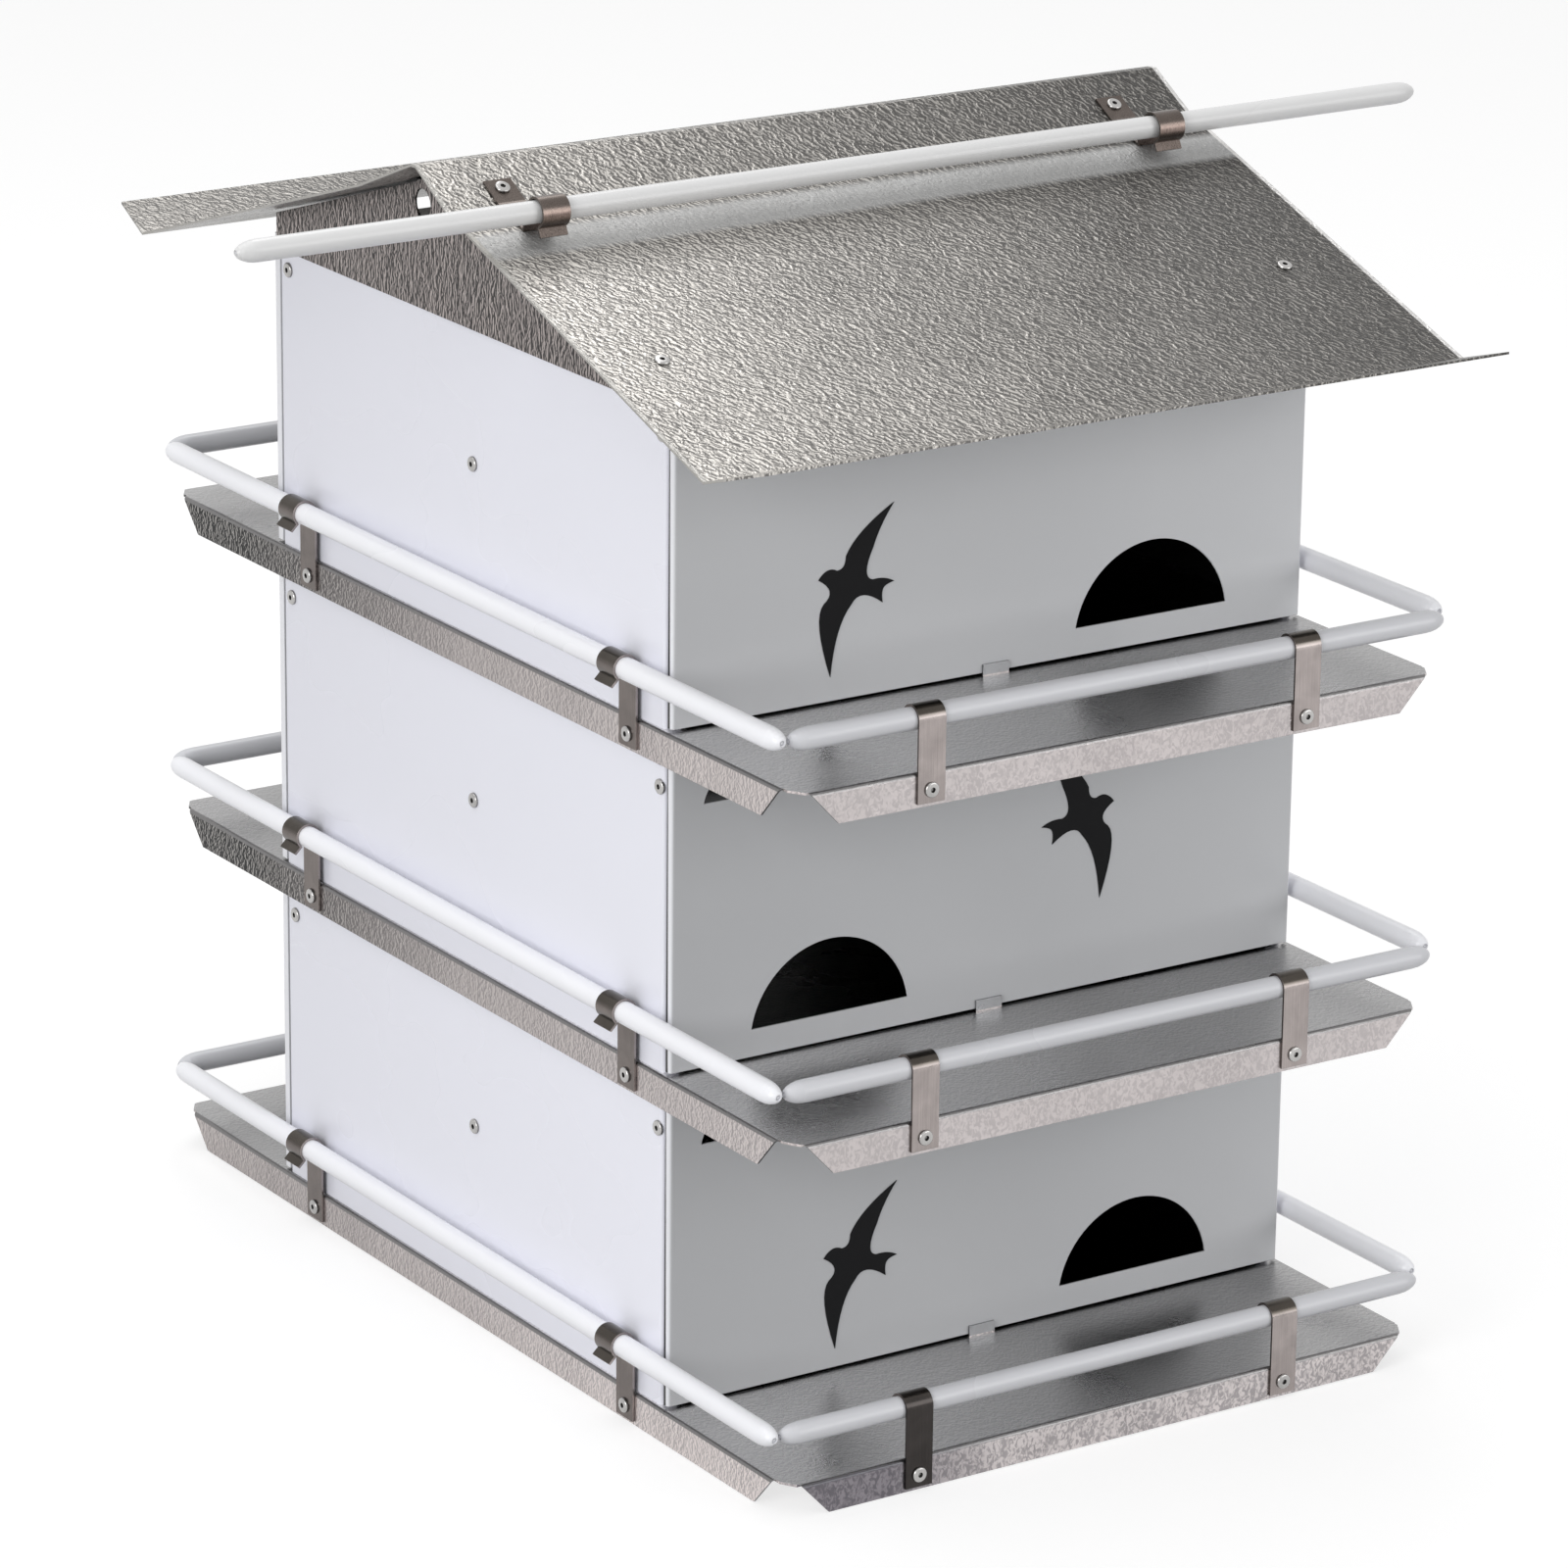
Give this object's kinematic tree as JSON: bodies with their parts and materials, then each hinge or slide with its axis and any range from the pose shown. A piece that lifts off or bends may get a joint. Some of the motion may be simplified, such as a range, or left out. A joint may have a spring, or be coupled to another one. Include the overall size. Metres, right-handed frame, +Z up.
{
  "type": "purple martin house",
  "caption": "Sheet-aluminium martin house: stacked tray floors with railed porches, half-moon entrances, end walls, gabled roof with turned-up eaves and a perch rod.",
  "frame": {"origin": "on the ground, under the middle of the house", "axes": "+X to the right along the front, +Y from the front to the back, +Z up; the front faces -Y"},
  "size_m": [0.5874, 0.528, 0.5152],
  "materials": {
    "tray_sheet": "stucco-embossed sheet, satin",
    "wall_paint": "smooth white paint, semi-gloss",
    "panel_paint": "smooth white paint, satin",
    "attic_sheet": "mill finish",
    "gable_sheet": "stucco-embossed sheet, satin",
    "roof_sheet": "stucco-embossed sheet, bright",
    "rail_paint": "white paint, gloss",
    "perch_paint": "white paint, gloss",
    "clip_steel": "spring stainless steel strip",
    "emblem_vinyl": "black vinyl film, matt"
  },
  "bodies": {
    "root": {"tray_1": "tray_sheet", "tray_2": "tray_sheet", "tray_3": "tray_sheet", "end_wall_left_1": "wall_paint", "end_wall_left_2": "wall_paint", "end_wall_left_3": "wall_paint", "end_wall_right_1": "wall_paint", "end_wall_right_2": "wall_paint", "end_wall_right_3": "wall_paint", "front_panel_1": "panel_paint", "front_panel_2": "panel_paint", "front_panel_3": "panel_paint", "back_panel_1": "panel_paint", "back_panel_2": "panel_paint", "back_panel_3": "panel_paint", "attic_floor": "attic_sheet", "gable_left": "gable_sheet", "gable_right": "gable_sheet", "roof": "roof_sheet", "rail_front_1": "rail_paint", "rail_front_2": "rail_paint", "rail_front_3": "rail_paint", "rail_back_1": "rail_paint", "rail_back_2": "rail_paint", "rail_back_3": "rail_paint", "rail_left_1": "rail_paint", "rail_left_2": "rail_paint", "rail_left_3": "rail_paint", "rail_right_1": "rail_paint", "rail_right_2": "rail_paint", "rail_right_3": "rail_paint", "rail_clips_1": "clip_steel", "rail_clips_2": "clip_steel", "rail_clips_3": "clip_steel", "perch_rod": "perch_paint", "perch_clips": "clip_steel", "swallows_front": "emblem_vinyl", "swallows_back": "emblem_vinyl"}
  },
  "joints": []
}
